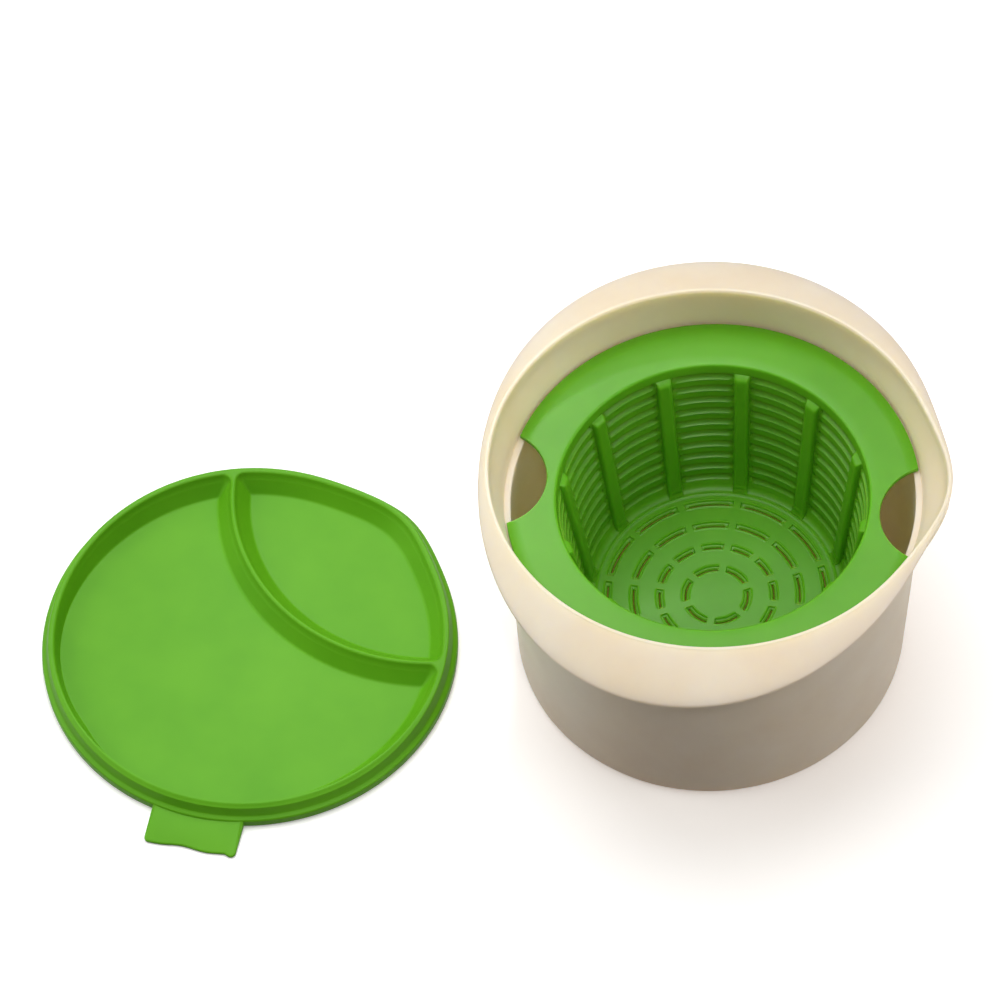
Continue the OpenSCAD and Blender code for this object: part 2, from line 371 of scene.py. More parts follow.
# ---------------------------------------------------------------- strainer basket
# The basket is one sheet of rows and columns. A column crosses a rib or a bay between
# ribs, and a station is a row: it runs from the lip down the wall to the floor's middle.
# Each station has its points on the sheet's two sides, the direction into the bowl, how
# far ribs stand in, half a rib's width, the margin beside it, and how far bars stand in.
Column = namedtuple("Column", "rib kind place")
Station = namedtuple("Station", "inside outside inward rib half margin ridge")

RIB_HALF_STEPS = (0.35, 0.6, 0.78, 0.9, 0.97, 1.0)
RIB_SQUARE = 6                     # how square a rib's section is; 2 would be half round
RIB_FADE = 0.6                     # how late a rib sinks into the round at the floor
RIB_TOP_ROWS = (1.4, 0.7, -0.8, -1.3, -1.9)
BAY_STEPS = 13
LIP_ROUND = 1                      # the round from the flange down into the bowl
LIP_STEPS = 4
CORNER_STEPS = 5
EDGE = 0.28                        # rounding at the edges of slots and flange
SLIT_EDGE = 0.1                    # and at the edges of the floor's slits
BAR_TOP_BACK = 0.8                 # each bar between slots slopes in below its top edge
BAR_TOP_DROP = 0.55
BAR_TOP_RISE = 1.3                 # and climbs on outward, towards the slot's outer side
BAR_RIDGE = 0.3                    # a fine ridge along each bar's top edge catches the light
RIDGE_RUN = 0.4                    # the ridge dies away over this
SLIT_TAPER = 0.45                  # each floor slit is this much narrower per side underneath
CHANNEL_LIP = 0.22                 # a raised lip round each sunk channel
LIP_REACH = 0.3                    # and how far out it reaches
CHANNEL_BRINK = 0.05               # the height of a channel's edge
CHANNEL_ROWS = (0.85, 0.6, 0.25, 0, -0.2)    # rows, measured out from a channel's edge
ON_EDGE = 0.1                      # a row nearer than this to a channel's edge is on it
FLAT_GAP = 0.5
FLAT_R = FLOOR_R - SIEVE_ROUND - FLAT_GAP    # the flat of the floor starts just past its round
FLAT_ROWS = (0.1, 0.5, 1.4)        # its first rows, measured in from there
FLAT_STEP = 0.35                   # the first of them stands this much higher
NARROW_RUN = 2.4                   # the ribs' columns narrow to bridges over this
BRIDGE_MARGIN = 0.3
MIDDLE_ROWS = (6.0, 2.5)           # the radii of the two last rows, inside the first ring
FLANGE_ROWS = ((1, 0, EDGE), (1, EDGE, 0), (0.7, 0, 0), (0.4, 0, 0), (0.12, 0, 0))


def sieve_columns():
    """Across each rib, then across the bay that follows it."""
    across = sorted([-t for t in RIB_HALF_STEPS] + [0.0] + list(RIB_HALF_STEPS))
    columns = []
    for i in range(RIBS):
        columns += [Column(i, "rib", t) for t in across]
        columns += [Column(i, "bay", k / BAY_STEPS) for k in range(BAY_STEPS + 1)]
    return columns


def column_angle(column, radius, half, margin):
    """A column's direction, where a rib is half wide to each side and has a margin."""
    start = RIB_PHASE + column.rib * RIB_STEP
    if column.kind == "rib":
        return start + column.place * half / radius
    side = (half + margin) / radius
    return start + side + column.place * (RIB_STEP - 2 * side)


def inner_r(z):
    """The bowl's radius at a height."""
    return MOUTH_R - (MOUTH_R - FLOOR_R) * (FLANGE_H - z) / (FLANGE_H - FLOOR_TOP)


def slot_edges(n):
    """The top and bottom of the wall's slots in row n."""
    high = FLANGE_H - SLOT_TOP - n * SLOT_PITCH
    return high, high - SLOT_H


def wall_rows():
    """(inside height, outside height, ridge) down the wall: slot edges, bars and rib tops."""
    rows = []
    for n in range(SLOTS):
        high, low = slot_edges(n)
        ridge = low - BAR_TOP_DROP
        rows += [(high + EDGE, high + EDGE, 0),
                 (high, high, 0),
                 (low, low + BAR_TOP_RISE, 0),
                 (ridge, ridge, BAR_RIDGE),
                 (ridge - RIDGE_RUN, ridge - RIDGE_RUN, 0)]
        if n < SLOTS - 1:
            middle = (low + slot_edges(n + 1)[0]) / 2
            rows.append((middle, middle, 0))
    rows += [(RIB_TOP + lift, RIB_TOP + lift, 0) for lift in RIB_TOP_ROWS]
    return sorted(rows, reverse=True)


def rib_height(z):
    """How far a rib stands in at a height: rounded off at its top."""
    depth = clamp((RIB_TOP - z) / RIB_IN)
    return RIB_IN * math.sqrt(1 - (1 - depth) ** 2)


def floor_radii():
    """The floor's rows: its edge, both sides of every ring of slits, and its middle."""
    half, slit = CHANNEL_W / 2, SLIT_W / 2
    offsets = [half + d for d in CHANNEL_ROWS] + [slit + EDGE, slit]
    radii = [FLAT_R - d for d in FLAT_ROWS]
    for n in reversed(range(RINGS)):
        ring = RING_FIRST_R + n * RING_PITCH
        radii += [ring + d for d in offsets] + [ring - d for d in reversed(offsets)]
        if n:
            radii.append(ring - RING_PITCH / 2)
    return radii + list(MIDDLE_ROWS)


def ring_at(r):
    """(ring number, distance from its middle) of the nearest ring of floor slits."""
    n = max(0, min(RINGS - 1, round((r - RING_FIRST_R) / RING_PITCH)))
    return n, abs(r - RING_FIRST_R - n * RING_PITCH)


def floor_station(r):
    """A row of the floor, where the ribs' columns have narrowed to bridges."""
    narrow = smooth(clamp((FLAT_R - r) / NARROW_RUN))
    squeeze = min(1, r / (RING_FIRST_R - CHANNEL_W))
    half = blend(RIB_W / 2, BRIDGE_W / 2, narrow) * squeeze
    margin = blend(SLOT_MARGIN, BRIDGE_MARGIN, narrow) * squeeze
    step = FLAT_STEP if r > FLAT_R - FLAT_ROWS[1] else 0
    ring, away = ring_at(r)
    at_slit = math.isclose(away, SLIT_W / 2, abs_tol=0.01)
    side = 1 if r > RING_FIRST_R + ring * RING_PITCH else -1
    under_r = r - side * SLIT_TAPER if at_slit else r
    return Station((r, FLOOR_TOP + step), (under_r, FLOOR_UNDER), (0, 1), 0, half, margin, 0)


def sieve_stations():
    """Every row from the lip to the middle of the floor."""
    half, margin = RIB_W / 2, SLOT_MARGIN
    under_lip = FLANGE_H - FLANGE_T - LIP_ROUND
    stations = []
    for k in range(LIP_STEPS + 1):
        turn = rad(90) * k / LIP_STEPS
        r = MOUTH_R + LIP_ROUND - math.sin(turn)
        stations.append(Station((r, FLANGE_H - LIP_ROUND + math.cos(turn)),
                                (r + SIEVE_WALL, under_lip + math.cos(turn)),
                                (-1, 0), 0, half, margin, 0))
    for z, outer_z, ridge in wall_rows():
        stations.append(Station((inner_r(z), z), (inner_r(z) + SIEVE_WALL, min(outer_z, under_lip)),
                                (-1, 0), rib_height(z), half, margin, ridge))
    for k in range(CORNER_STEPS + 1):
        turn = rad(90) * (1 - k / CORNER_STEPS)
        s, c = math.sin(turn), math.cos(turn)
        r = FLOOR_R - SIEVE_ROUND * (1 - s)
        stations.append(Station((r, FLOOR_TOP + SIEVE_ROUND * (1 - c)),
                                (r + SIEVE_WALL, FLOOR_UNDER + SIEVE_ROUND * (1 - c)),
                                (-s, c), RIB_IN * s ** RIB_FADE, half, margin, 0))
    return stations + [floor_station(r) for r in floor_radii()]


def bridged(column, ring):
    """Every rib line carries a bridge, but only every second one on the innermost ring."""
    return column.kind == "rib" and (ring > 0 or column.rib % 2 == 0)


def beside_bridge(column, ring):
    """Whether a column is the end of a bay and next to a bridge."""
    at_end = column.kind == "bay" and column.place in (0, 1)
    return at_end and (ring > 0 or (column.rib + column.place) % 2 == 0)


def channel_lift(column, r):
    """The height of the basket floor's face beside and inside a sunk channel."""
    ring, away = ring_at(r)
    out = away - CHANNEL_W / 2
    if out > LIP_REACH:
        return 0
    if bridged(column, ring):
        return CHANNEL_LIP if abs(column.place) == 1 and out < ON_EDGE else 0
    if out > ON_EDGE:
        return CHANNEL_LIP
    return CHANNEL_BRINK if out > -ON_EDGE else -CHANNEL_D


def is_open(column, after, station, below):
    """Whether the cell between two columns and two stations is a hole."""
    (r, z), (r2, z2) = station.inside, below.inside
    middle_r, middle_z = (r + r2) / 2, (z + z2) / 2
    if middle_z > FLOOR_TOP + SIEVE_ROUND:
        in_bay = column.kind == "bay" and after.kind == "bay"
        return in_bay and any(low < middle_z < high for high, low in map(slot_edges, range(SLOTS)))
    ring, away = ring_at(middle_r)
    if away > SLIT_W / 2:
        return False
    return not any(bridged(c, ring) or beside_bridge(c, ring) for c in (column, after))


# The flange's outline, as a length along it from the middle of the spout's notch
NOTCH_HALF = math.acos((NOTCH_CENTRE ** 2 + FLANGE_R ** 2 - NOTCH_R ** 2)
                       / (2 * NOTCH_CENTRE * FLANGE_R))
NOTCH_SWEEP = math.asin(FLANGE_R * math.sin(NOTCH_HALF) / NOTCH_R)
NOTCH_LENGTH = NOTCH_R * NOTCH_SWEEP
QUARTER = NOTCH_LENGTH + FLANGE_R * (math.pi / 2 - NOTCH_HALF)


def flange_outline(length):
    """The point at a length along the outline, which is the same in all four quarters."""
    quarter, rest = divmod(length % (4 * QUARTER), QUARTER)
    if quarter % 2:
        rest = QUARTER - rest
    if rest < NOTCH_LENGTH:
        turn = rest / NOTCH_R
        x, y = NOTCH_CENTRE - NOTCH_R * math.cos(turn), NOTCH_R * math.sin(turn)
    else:
        turn = NOTCH_HALF + (rest - NOTCH_LENGTH) / FLANGE_R
        x, y = FLANGE_R * math.cos(turn), FLANGE_R * math.sin(turn)
    return Vector((x if quarter in (0, 3) else -x, y if quarter < 2 else -y))


def flange_lengths(angles):
    """A length along the outline for each column, with one column on each notch corner."""
    marks = [0, NOTCH_LENGTH, QUARTER, 2 * QUARTER - NOTCH_LENGTH]
    marks += [m + 2 * QUARTER for m in marks]
    anchors = []
    for mark in marks:
        even = mark / QUARTER * math.pi / 2
        anchors.append((even + min((turn_to(a, even) for a in angles), key=abs), mark))
    anchors.append((anchors[0][0] + math.tau, 4 * QUARTER))
    lengths = []
    for angle in angles:
        a = (angle - anchors[0][0]) % math.tau + anchors[0][0]
        (a0, m0), (a1, m1) = max(pair for pair in zip(anchors, anchors[1:]) if pair[0][0] <= a)
        lengths.append(blend(m0, m1, (a - a0) / (a1 - a0)))
    return lengths


def raised(column, station):
    """How far a point stands into the bowl: on a rib, at a channel or on a bar's ridge."""
    if column.kind == "rib" and station.rib:
        return station.rib * math.sqrt(max(0, 1 - abs(column.place) ** RIB_SQUARE))
    if station.inward[1] > 0:
        return channel_lift(column, station.inside[0])
    return station.ridge if column.kind == "bay" and 0 < column.place < 1 else 0


def sieve_row(columns, station, holes_above, holes_below):
    """A station's points inside and outside, drawn back where they edge a hole."""
    inside, outside = [], []
    (r, z), (outer_r, outer_z), (in_r, in_z) = station.inside, station.outside, station.inward
    on_wall = not in_z
    for c, column in enumerate(columns):
        angle = column_angle(column, r, station.half, station.margin)
        at_hole = holes_above[c - 1] or holes_above[c] or holes_below[c - 1] or holes_below[c]
        pull = (EDGE if on_wall else SLIT_EDGE) if at_hole else 0
        bar_top = on_wall and holes_above[c] and not holes_below[c]
        shift = raised(column, station) - (BAR_TOP_BACK if bar_top else pull)
        point_r, outer_point_r = r + in_r * shift, outer_r + in_r * pull
        inside.append((point_r * math.cos(angle), point_r * math.sin(angle), z + in_z * shift))
        outside.append((outer_point_r * math.cos(angle), outer_point_r * math.sin(angle),
                        outer_z + in_z * pull))
    return inside, outside


def flange_row(angles, edges, share, inset, drop):
    """The flange's points at a share of the way from the mouth's lip out to its edge."""
    lip_r = MOUTH_R + SIEVE_WALL + LIP_ROUND
    plan = []
    for angle, edge in zip(angles, edges):
        lip = Vector((math.cos(angle), math.sin(angle))) * lip_r
        plan.append(lip.lerp(edge, share - inset / (edge - lip).length))
    return ([(p.x, p.y, FLANGE_H - drop) for p in plan],
            [(p.x, p.y, FLANGE_H - FLANGE_T + drop) for p in plan])


def sheet_faces(tops, unders, holes):
    """Both faces of the sheet, its outer edge and the sides of every hole through it."""
    count = len(tops[0])
    faces = strip(tops[0], unders[0])
    for j in range(len(tops) - 1):
        for c in range(count):
            if holes[j][c]:
                continue
            d = (c + 1) % count
            faces.append((tops[j][c], tops[j][d], tops[j + 1][d], tops[j + 1][c]))
            faces.append((unders[j][c], unders[j][d], unders[j + 1][d], unders[j + 1][c]))
            for hole, (row_a, a), (row_b, b) in (
                    (holes[j][c - 1], (j, c), (j + 1, c)),
                    (holes[j][d], (j, d), (j + 1, d)),
                    (holes[j - 1][c], (j, c), (j, d)),
                    (holes[j + 1][c], (j + 1, c), (j + 1, d))):
                if hole:
                    faces.append((tops[row_a][a], tops[row_b][b],
                                  unders[row_b][b], unders[row_a][a]))
    return faces


def make_basket():
    """The sheet of flange, slotted wall and slit floor."""
    columns, stations = sieve_columns(), sieve_stations()
    count = len(columns)
    lip = stations[0]
    angles = [column_angle(c, MOUTH_R, lip.half, lip.margin) for c in columns]
    edges = [flange_outline(length) for length in flange_lengths(angles)]

    solid = [False] * count
    holes = [solid] * len(FLANGE_ROWS)
    for station, below in zip(stations, stations[1:]):
        holes.append([is_open(columns[c], columns[(c + 1) % count], station, below)
                      for c in range(count)])
    holes.append(solid)

    rows = [flange_row(angles, edges, *row) for row in FLANGE_ROWS]
    for n, station in enumerate(stations, start=len(FLANGE_ROWS)):
        rows.append(sieve_row(columns, station, holes[n - 1], holes[n]))

    points, tops, unders = [], [], []
    for inside, outside in rows:
        tops.append(range(len(points), len(points) + count))
        points += inside
        unders.append(range(len(points), len(points) + count))
        points += outside
    faces = sheet_faces(tops, unders, holes)
    for last, height in ((tops[-1], FLOOR_TOP), (unders[-1], FLOOR_UNDER)):
        points.append((0, 0, height))
        faces += fan(last, len(points) - 1)
    return add_piece("strainer_basket_moulding", points, faces, "basket", "strainer_basket")


# ---------------------------------------------------------------- lid
LID_AROUND = 260                   # columns round the lid's rim
TRAY_STEPS = 150                   # steps along the outlines of the two compartments
CORNER_TRAY_STEPS = 80
DIVIDER_STEPS = 90
POCKET_CORNER_STEPS = 12
LID_TOP = SEAL_H - 0.3             # the soft ring dips and lifts a little about this height
TOP_ROUND = 1.05                   # the ring's and divider's rounded top edges
POCKET_CORNER = 3.2
POCKET_CORNER_LEAST = 0.7
BRINK_IN = 1.5                     # a tray's wall bends here, below its top edge
BRINK_DROP = 1.7
BRINK_ROUND = 1.4
WALL_SLOPE = 5.0                   # how far a tray's wall leans in from its top to its foot
COVE = 1.6                         # the fillet between the tray's floor and its walls
COVE_ARM = 4                       # only the direction of this stretch of floor counts
FLOOR_ROW = 2.2                    # the last row, on the floor past the wall's foot
RING_LEAN = 1.2                    # the ring's outer side leans out to here
RING_FOOT = 1.1                    # this far above the lip
LIP_EDGE = ((0.4, -0.1), (0.0, 0.6))    # (inset, drop) of the two corners of the lip's edge
LIP_UNDER = 3                      # the last stretch under the lip, before its flat underside
RING_EDGE_ROUND = 1.0
RING_FOOT_ROUND = 1.5
LIP_EDGE_ROUND = 0.3
LIP_UNDER_ROUND = 0.8

LID_STILL_R = 35                   # the lid keeps its shape this far from its middle
LID_GIVE_RUN = 38                  # and gives fully this much further out
SWELL_OUT = 3.0                    # the corner compartment bulges
SWELL_SPREAD = rad(14)
OVAL = 0.7                         # the ring is out of round by this
OVAL_DIR = rad(160)
SHRINK = 0.6                       # and drawn in by this all round
STEEP = 0.75                       # the walls stand this much steeper at the left and front
STEEP_SIDES = ((rad(190), rad(38)), (rad(250), rad(48)))    # (direction, spread)
STEEP_R = 58                       # the floor inside this radius keeps its place
STEEP_RUN = 10
WAVE = 0.25                        # the ring dips and lifts three times on its way round
WAVES = 3
WAVE_START = 1
ROLL_OUT = 1.5                     # the ring's top slopes this much outward at the front
ROLL_GAIN = 1.6                    # it sets in where -ROLL_GAIN * sin(angle) passes ROLL_START
ROLL_START = 0.3
ROLL_RUN = 2                       # and is full this far out from the ring's inner edge
ROLL_RISE = 3                      # and this far above the lip


def arc(centre, radius, start, sweep, steps):
    """Points along an arc, its last one left out."""
    return [(centre[0] + radius * math.cos(start + sweep * k / steps),
             centre[1] + radius * math.sin(start + sweep * k / steps)) for k in range(steps)]


def turned(points, angle):
    """The points turned about the origin."""
    c, s = math.cos(angle), math.sin(angle)
    return [(x * c - y * s, x * s + y * c) for x, y in points]


def pocket_outline(inset, main):
    """One compartment's outline, drawn in by inset; the divider's centre lies on +x."""
    ring = RING_IN - inset
    side = 1 if main else -1
    divider = DIVIDER_R + side * (DIVIDER_W / 2 + inset)
    corner = max(POCKET_CORNER - inset, POCKET_CORNER_LEAST)
    from_lid, from_divider = ring - corner, divider + side * corner
    x = (from_lid ** 2 - from_divider ** 2 + DIVIDER_CENTRE ** 2) / (2 * DIVIDER_CENTRE)
    y = math.sqrt(from_lid ** 2 - x ** 2)
    at_lid = math.atan2(y, x)
    at_divider = math.atan2(y, x - DIVIDER_CENTRE)
    middle, centre = (0, 0), (DIVIDER_CENTRE, 0)
    if main:
        bend = at_lid - at_divider + math.pi
        return (arc(middle, ring, at_lid, math.tau - 2 * at_lid, TRAY_STEPS)
                + arc((x, -y), corner, -at_lid, bend, POCKET_CORNER_STEPS)
                + arc(centre, divider, -at_divider, 2 * at_divider - math.tau, DIVIDER_STEPS)
                + arc((x, y), corner, at_divider + math.pi, bend, POCKET_CORNER_STEPS))
    bend = at_divider - at_lid
    return (arc(middle, ring, -at_lid, 2 * at_lid, CORNER_TRAY_STEPS)
            + arc((x, y), corner, at_lid, bend, POCKET_CORNER_STEPS)
            + arc(centre, divider, at_divider, math.tau - 2 * at_divider, DIVIDER_STEPS)
            + arc((x, -y), corner, -at_divider, bend, POCKET_CORNER_STEPS))


def pocket_profile():
    """(inset, height) from the land on top, over the rounded edge and down to the floor."""
    top = [(-TOP_ROUND * (1 - math.sin(rad(t))), LID_TOP - TOP_ROUND * (1 - math.cos(rad(t))))
           for t in (0, 30, 60, 90)]
    wall_top = LID_TOP - TOP_ROUND
    wall = rounded_path([(0, wall_top, 0),
                         (BRINK_IN, wall_top - BRINK_DROP, BRINK_ROUND),
                         (WALL_SLOPE, LID_FLOOR_T, COVE),
                         (WALL_SLOPE + COVE_ARM, LID_FLOOR_T, 0)])
    return top + [tuple(p) for p in wall[1:-1]] + [(WALL_SLOPE + FLOOR_ROW, LID_FLOOR_T)]


def rim_profile():
    """(radius, height) from the land down the outside and under the lip."""
    lip = [(LID_R - inset, LIP_H - drop, LIP_EDGE_ROUND) for inset, drop in LIP_EDGE]
    return rounded_path([
        (RING_OUT - TOP_ROUND, LID_TOP, 0),
        (RING_OUT, LID_TOP, RING_EDGE_ROUND),
        (RING_OUT + RING_LEAN, LIP_H + RING_FOOT, RING_FOOT_ROUND),
        *lip,
        (LID_R, 0, LIP_UNDER_ROUND),
        (LID_R - LIP_UNDER, 0, 0),
    ], steps=4)


def relax(x, y, z):
    """The soft lid's shape as it lies: the corner bulges and the ring isn't quite round."""
    r, angle = math.hypot(x, y), math.atan2(y, x)
    give = smooth(clamp((r - LID_STILL_R) / LID_GIVE_RUN))
    bulge = SWELL_OUT * hump(turn_to(angle, CORNER_DIR), SWELL_SPREAD)
    oval = OVAL * math.cos(2 * (angle - OVAL_DIR)) - SHRINK
    grown = 1 + give * (bulge + oval) / max(r, 1)
    if r < RING_IN:
        steep = STEEP * max(hump(turn_to(angle, side), spread) for side, spread in STEEP_SIDES)
        grown += steep * (RING_IN - r) * smooth(clamp((r - STEEP_R) / STEEP_RUN)) / max(r, 1)
    above_floor = clamp((z - LID_FLOOR_T) / LID_TOP)
    lift = WAVE * give * math.sin(WAVES * angle + WAVE_START) * above_floor
    front = smooth(clamp(-ROLL_GAIN * math.sin(angle) - ROLL_START))
    roll = ROLL_OUT * front * clamp((r - RING_IN) / ROLL_RUN) * clamp((z - LIP_H) / ROLL_RISE)
    return LID_X + x * grown, LID_Y + y * grown, z + lift - roll


# The pull tab
TAB_END_STEPS = 14
TAB_CORNER_STEPS = 6
TAB_END_IN = 0.5                   # the free end waves about a line this far in
TAB_WAVE = 0.45
TAB_WAVES = 3.3                    # in half waves
TAB_WAVE_START = 0.6
TAB_DROOP = 2.4                    # the tab's top slopes down by this to its free end
TAB_THIN = 0.5                     # the free end's thickness, as a share of TAB_T
# (inset, height) of the outlines that round the slab's edges
TAB_LAYERS = ((0.5, 0.05), (0.12, 0.2), (0, 0.55),
              (0, TAB_T - 0.6), (0.15, TAB_T - 0.2), (0.6, TAB_T))


def make_tab():
    """The pull tab: a thin slab with rounded corners and edges and a slightly wavy end."""
    root = math.sqrt(LID_R ** 2 - (TAB_W / 2) ** 2) - SEAL_INSET / 2
    reach, half = LID_R + TAB_OUT, TAB_W / 2

    def outline(inset):
        corner = TAB_CORNER - inset
        far, side = reach - inset, half - inset
        end = []
        for k in range(1, TAB_END_STEPS):
            t = k / TAB_END_STEPS
            wave = TAB_WAVE * math.sin(TAB_WAVES * t * math.pi + TAB_WAVE_START)
            end.append((far - TAB_END_IN + wave, blend(-side + corner, side - corner, t)))
        return ([(root, -side)]
                + arc((far - corner, corner - side), corner, -rad(90), rad(90), TAB_CORNER_STEPS)
                + end
                + arc((far - corner, side - corner), corner, 0, rad(90), TAB_CORNER_STEPS)
                + [(far - corner, side), (root, side)])

    points, loops = [], []
    for inset, z in TAB_LAYERS:
        plan = outline(inset)
        slope = [1 - clamp((x - root) / (reach - root)) for x, y in plan]
        loops.append(range(len(points), len(points) + len(plan)))
        points += [(LID_X + x, LID_Y + y, z * (TAB_THIN + TAB_DROOP / TAB_T * t))
                   for (x, y), t in zip(turned(plan, TAB_DIR), slope)]
    return place("pull_tab", closed_mesh("pull_tab", points,
                                         sleeve(loops) + [tuple(loops[0]), tuple(loops[-1])]))


def land_faces(outlines, points):
    """The flat land on top of the ring and the divider, filled between closed outlines."""
    land = bmesh.new()
    numbers = []
    for loop in outlines:
        ring = [land.verts.new((points[n][0], points[n][1], 0)) for n in loop]
        numbers += loop
        for a, b in zip(ring, ring[1:] + ring[:1]):
            land.edges.new((a, b))
    land.verts.index_update()
    bmesh.ops.triangle_fill(land, use_beauty=True, edges=land.edges)
    faces = [tuple(numbers[v.index] for v in f.verts) for f in land.faces]
    land.free()
    return faces


def join_solids(piece, other):
    """Makes other part of piece, as one closed surface."""
    join = piece.modifiers.new("join", "BOOLEAN")
    join.operation, join.solver, join.object = "UNION", "EXACT", other
    solid = bpy.data.meshes.new_from_object(
        piece.evaluated_get(bpy.context.evaluated_depsgraph_get()))
    piece.modifiers.clear()
    piece.data = solid
    bpy.data.objects.remove(other)


def make_lid():
    """Two compartments, the land between them, the rim outside and the pull tab."""
    points, faces, outlines = [], [], []

    def add_loop(plan, z):
        start = len(points)
        points.extend(relax(x, y, z) for x, y in plan)
        return list(range(start, len(points)))

    sides = [[add_loop(turned(pocket_outline(inset, main), CORNER_DIR), z)
              for inset, z in pocket_profile()] for main in (True, False)]
    sides.append([add_loop(arc((0, 0), r, 0, math.tau, LID_AROUND), z) for r, z in rim_profile()])
    for loops in sides:
        faces += sleeve(loops)
        faces.append(tuple(loops[-1]))
        outlines.append(loops[0])
    faces += land_faces(outlines, points)

    lid = add_piece("lid_moulding", points, faces, "lid", "lid")
    join_solids(lid, make_tab())
    return lid


# ---------------------------------------------------------------- materials
def linear(hex_colour):
    """An sRGB hex value as linear RGBA."""
    channels = [int(hex_colour[k:k + 2], 16) / 255 for k in (1, 3, 5)]
    return [c / 12.92 if c <= 0.04045 else ((c + 0.055) / 1.055) ** 2.4 for c in channels] + [1]


def add_node(tree, kind, settings=(), **inputs):
    """Adds a node; each input is a value or another node's socket."""
    node = tree.nodes.new(kind)
    for name, value in settings:
        setattr(node, name, value)
    for name, value in inputs.items():
        socket = node.inputs[name.replace("_", " ")]
        if isinstance(value, bpy.types.NodeSocket):
            tree.links.new(value, socket)
        else:
            socket.default_value = value
    return node


FLOW_MM = 34.0                     # the width of the faint clouds that the melt's flow leaves
SHEEN_SPREAD = 0.05                # the grain makes the roughness vary by this


def moulded(name, deep, pale, roughness, grain_mm, grain_depth_mm, shine, scatter, reach_mm):
    """A moulded plastic: cloudy colour from the melt's flow and a fine grain from the mould.

    The real grain is about 0.1 mm. It is drawn coarser than that, so that it shows.
    """
    material = bpy.data.materials.new(name)
    material.use_nodes = True
    tree = material.node_tree
    tree.nodes.clear()
    where = add_node(tree, "ShaderNodeTexCoord").outputs["Object"]
    flow = add_node(tree, "ShaderNodeTexNoise", Vector=where, Scale=1 / (FLOW_MM * MM),
                    Detail=3.0, Roughness=0.55)
    grain = add_node(tree, "ShaderNodeTexNoise", Vector=where, Scale=1 / (grain_mm * MM),
                     Detail=2.0, Roughness=0.6)
    clouds = add_node(tree, "ShaderNodeMapRange", Value=flow.outputs["Fac"],
                      From_Min=0.3, From_Max=0.7)
    colour = add_node(tree, "ShaderNodeMix", [("data_type", "RGBA")])
    tree.links.new(clouds.outputs["Result"], colour.inputs["Factor"])
    colour.inputs[6].default_value = linear(deep)         # the colour node's A and B
    colour.inputs[7].default_value = linear(pale)
    sheen = add_node(tree, "ShaderNodeMapRange", Value=grain.outputs["Fac"],
                     To_Min=roughness - SHEEN_SPREAD, To_Max=roughness + SHEEN_SPREAD)
    bump = add_node(tree, "ShaderNodeBump", Height=grain.outputs["Fac"],
                    Strength=0.5, Distance=grain_depth_mm * MM)
    shader = add_node(tree, "ShaderNodeBsdfPrincipled", Base_Color=colour.outputs[2],
                      Roughness=sheen.outputs["Result"], Normal=bump.outputs["Normal"],
                      IOR=1.49, Specular_IOR_Level=shine,
                      Subsurface_Weight=scatter, Subsurface_Scale=MM,
                      Subsurface_Radius=reach_mm)
    add_node(tree, "ShaderNodeOutputMaterial", Surface=shader.outputs["BSDF"])
    return material


def cream_polypropylene():
    """Polypropylene, injection moulded in a fine-grained tool: satin, with a soft, waxy depth."""
    return moulded("cream_polypropylene", "#F4D4B6", "#FADEC4", roughness=0.42, grain_mm=0.9,
                   grain_depth_mm=0.03, shine=0.4, scatter=0.85, reach_mm=(11.0, 9.5, 6.0))


def green_polypropylene():
    """Polypropylene, injection moulded in a polished tool: a clean satin gloss on flat faces."""
    return moulded("green_polypropylene", "#569C16", "#5EA61C", roughness=0.36, grain_mm=0.8,
                   grain_depth_mm=0.015, shine=0.3, scatter=0.6, reach_mm=(4.0, 7.0, 1.2))


def green_silicone():
    """Silicone rubber, compression moulded: soft, even, slightly velvety, with no hard glints."""
    return moulded("green_silicone", "#549A0C", "#5CA212", roughness=0.5, grain_mm=0.7,
                   grain_depth_mm=0.03, shine=0.22, scatter=0.12, reach_mm=(1.2, 2.0, 0.4))


# ---------------------------------------------------------------- studio, in metres
AZIMUTH = rad(11.9)
ELEVATION = rad(57.1)
ROLL = rad(-5.26)
DISTANCE = 2.2884
AIM = (0.519, 0.494, 0.85)         # what the camera looks at, as shares of the object's box
TABLE_HALF = 4.0
TABLE_GAP = 0.0002                 # the table lies just clear of the foot
TABLE_GLOW = 0.16                  # lifts the table to a clean white
SPOT_EDGE = 0.6
SKY_STOPS = ((0.5, "#46443E"), (0.62, "#8C8B88"), (0.8, "#E6E6E4"))
BASKET_CRISP = rad(48)             # edges that turn by more than this stay crisp
LID_CRISP = rad(50)


def aim_at(thing, target, roll=0.0):
    """Turns a lamp or the camera towards a point."""
    thing.rotation_mode = "QUATERNION"
    thing.rotation_quaternion = ((target - thing.location).to_track_quat("-Z", "Y")
                                 @ Quaternion((0, 0, 1), roll))


def add_camera():
    """A long lens, looking down on the set from the front."""
    lens = bpy.data.cameras.new("camera")
    lens.sensor_width, lens.lens = 36, 226.8
    camera = place("camera", lens)
    target = cad_low + Vector(AIM) * (cad_high - cad_low)
    back = Vector((math.sin(AZIMUTH) * math.cos(ELEVATION),
                   -math.cos(AZIMUTH) * math.cos(ELEVATION), math.sin(ELEVATION)))
    camera.location = target + back * DISTANCE
    aim_at(camera, target, ROLL)
    bpy.context.scene.camera = camera


def add_light(name, kind, location, target, power, colour):
    """A light of any kind, aimed at a point; its own settings are made on what comes back."""
    light = bpy.data.lights.new(name, kind)
    light.energy, light.color = power, linear(colour)[:3]
    lamp = place(name, light)
    lamp.location = location
    aim_at(lamp, Vector(target))
    return light


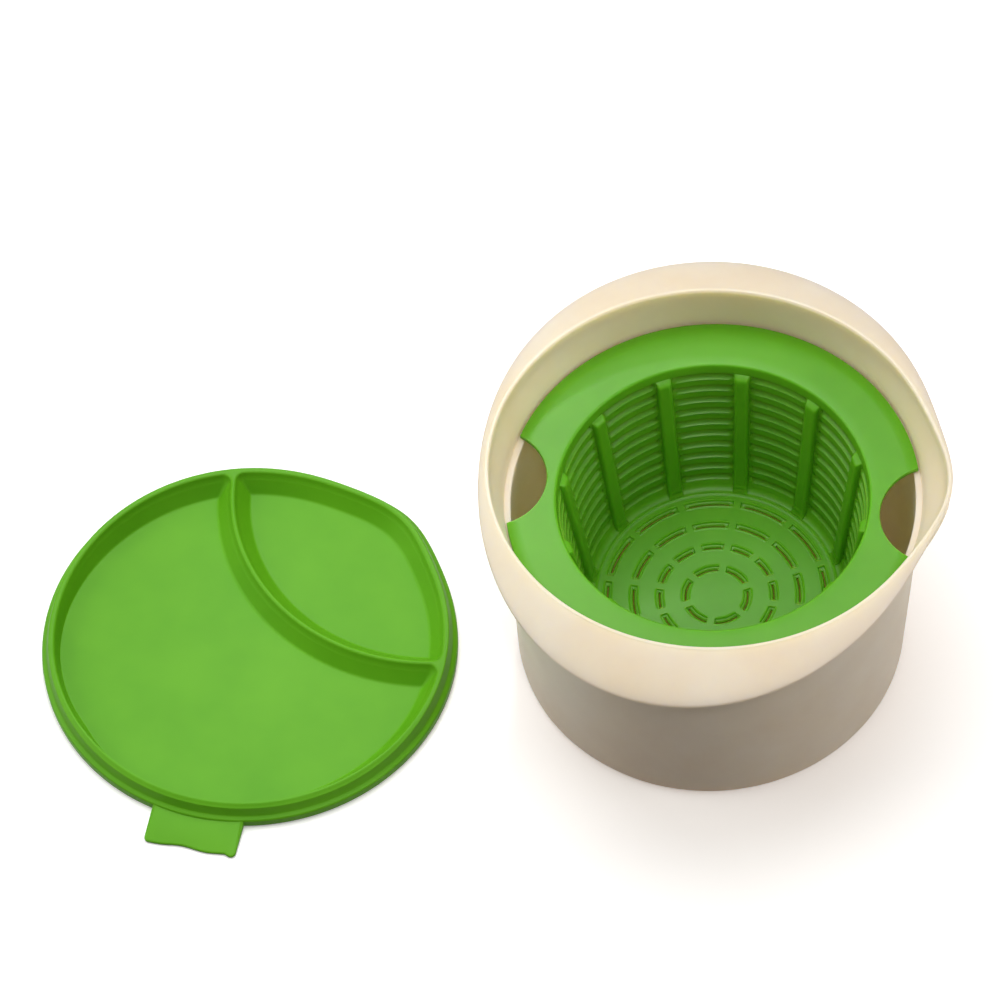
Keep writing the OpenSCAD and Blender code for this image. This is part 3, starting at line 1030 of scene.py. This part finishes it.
def add_softbox(name, location, size, power, colour):
    """A round soft source, aimed at the middle of the set."""
    light = add_light(name, "AREA", location, (cad_low + cad_high) / 2, power, colour)
    light.shape, light.size = "DISK", size


def add_spot(name, location, target, cone, power, colour, softness):
    """A narrow beam with a soft edge."""
    light = add_light(name, "SPOT", location, target, power, colour)
    light.spot_size, light.spot_blend, light.shadow_soft_size = cone, SPOT_EDGE, softness


def add_floor():
    """A plain white table, wide enough to fill every view."""
    half = TABLE_HALF
    mesh = bpy.data.meshes.new("table")
    mesh.from_pydata([(-half, -half, 0), (half, -half, 0), (half, half, 0), (-half, half, 0)],
                     [], [(0, 1, 2, 3)])
    floor = place("table", mesh)
    floor.location.z = cad_low.z - TABLE_GAP
    material = bpy.data.materials.new("white_card")
    material.use_nodes = True
    shader = material.node_tree.nodes["Principled BSDF"]
    shader.inputs["Base Color"].default_value = linear("#FFFFFF")
    shader.inputs["Roughness"].default_value = 1.0
    shader.inputs["Specular IOR Level"].default_value = 0.0
    shader.inputs["Emission Color"].default_value = linear("#FFFFFF")
    shader.inputs["Emission Strength"].default_value = TABLE_GLOW
    mesh.materials.append(material)
    floor.visible_diffuse = False


def add_sky():
    """A light tent: bright overhead, dim and warm from below, as over a wooden bench."""
    world = bpy.data.worlds.new("light_tent")
    bpy.context.scene.world = world
    world.use_nodes = True
    tree = world.node_tree
    tree.nodes.clear()
    where = add_node(tree, "ShaderNodeTexCoord").outputs["Generated"]
    axes = add_node(tree, "ShaderNodeSeparateXYZ", Vector=where)
    height = add_node(tree, "ShaderNodeMapRange", Value=axes.outputs["Z"],
                      From_Min=-1.0, From_Max=1.0)
    ramp = add_node(tree, "ShaderNodeValToRGB", Fac=height.outputs["Result"])
    stops = ramp.color_ramp.elements
    stops[0].position, stops[0].color = 0.0, linear("#B88E4C")
    stops[1].position, stops[1].color = 1.0, linear("#FFFFFF")
    for position, colour in SKY_STOPS:
        stops.new(position).color = linear(colour)
    depth = add_node(tree, "ShaderNodeMapRange", Value=axes.outputs["Y"],
                     From_Min=-1.0, From_Max=1.0, To_Min=0.42, To_Max=0.78)
    background = add_node(tree, "ShaderNodeBackground", Color=ramp.outputs["Color"],
                          Strength=depth.outputs["Result"])
    add_node(tree, "ShaderNodeOutputWorld", Surface=background.outputs["Background"])


add_camera()
add_floor()
add_sky()
add_softbox("overhead_softbox", (-0.2, 0.35, 1.8), size=1.3, power=17.5, colour="#FFFFFF")
add_spot("lid_backlight", (-0.2, 0.95, 1.25), target=(LID_X * MM, LID_Y * MM, 0), cone=rad(10),
         power=30, colour="#FFFFFF", softness=0.1)
add_spot("mouth_light", (0.25, -0.8, 1.7), target=(0, 0, RIM_H * MM), cone=rad(7),
         power=58, colour="#FFFAF2", softness=0.15)
add_softbox("left_card", (-1.3, 0.0, 0.6), size=1.0, power=6.5, colour="#FFFAF2")
add_softbox("right_card", (1.3, -0.2, 0.6), size=1.0, power=6.5, colour="#FFFAF2")

container = make_container()
container.data.materials.append(cream_polypropylene())
basket = make_basket()
basket.data.materials.append(green_polypropylene())
basket.data.set_sharp_from_angle(angle=BASKET_CRISP)
lid = make_lid()
lid.data.materials.clear()
lid.data.materials.append(green_silicone())
lid.data.set_sharp_from_angle(angle=LID_CRISP)
bpy.context.scene.view_settings.view_transform = "Standard"
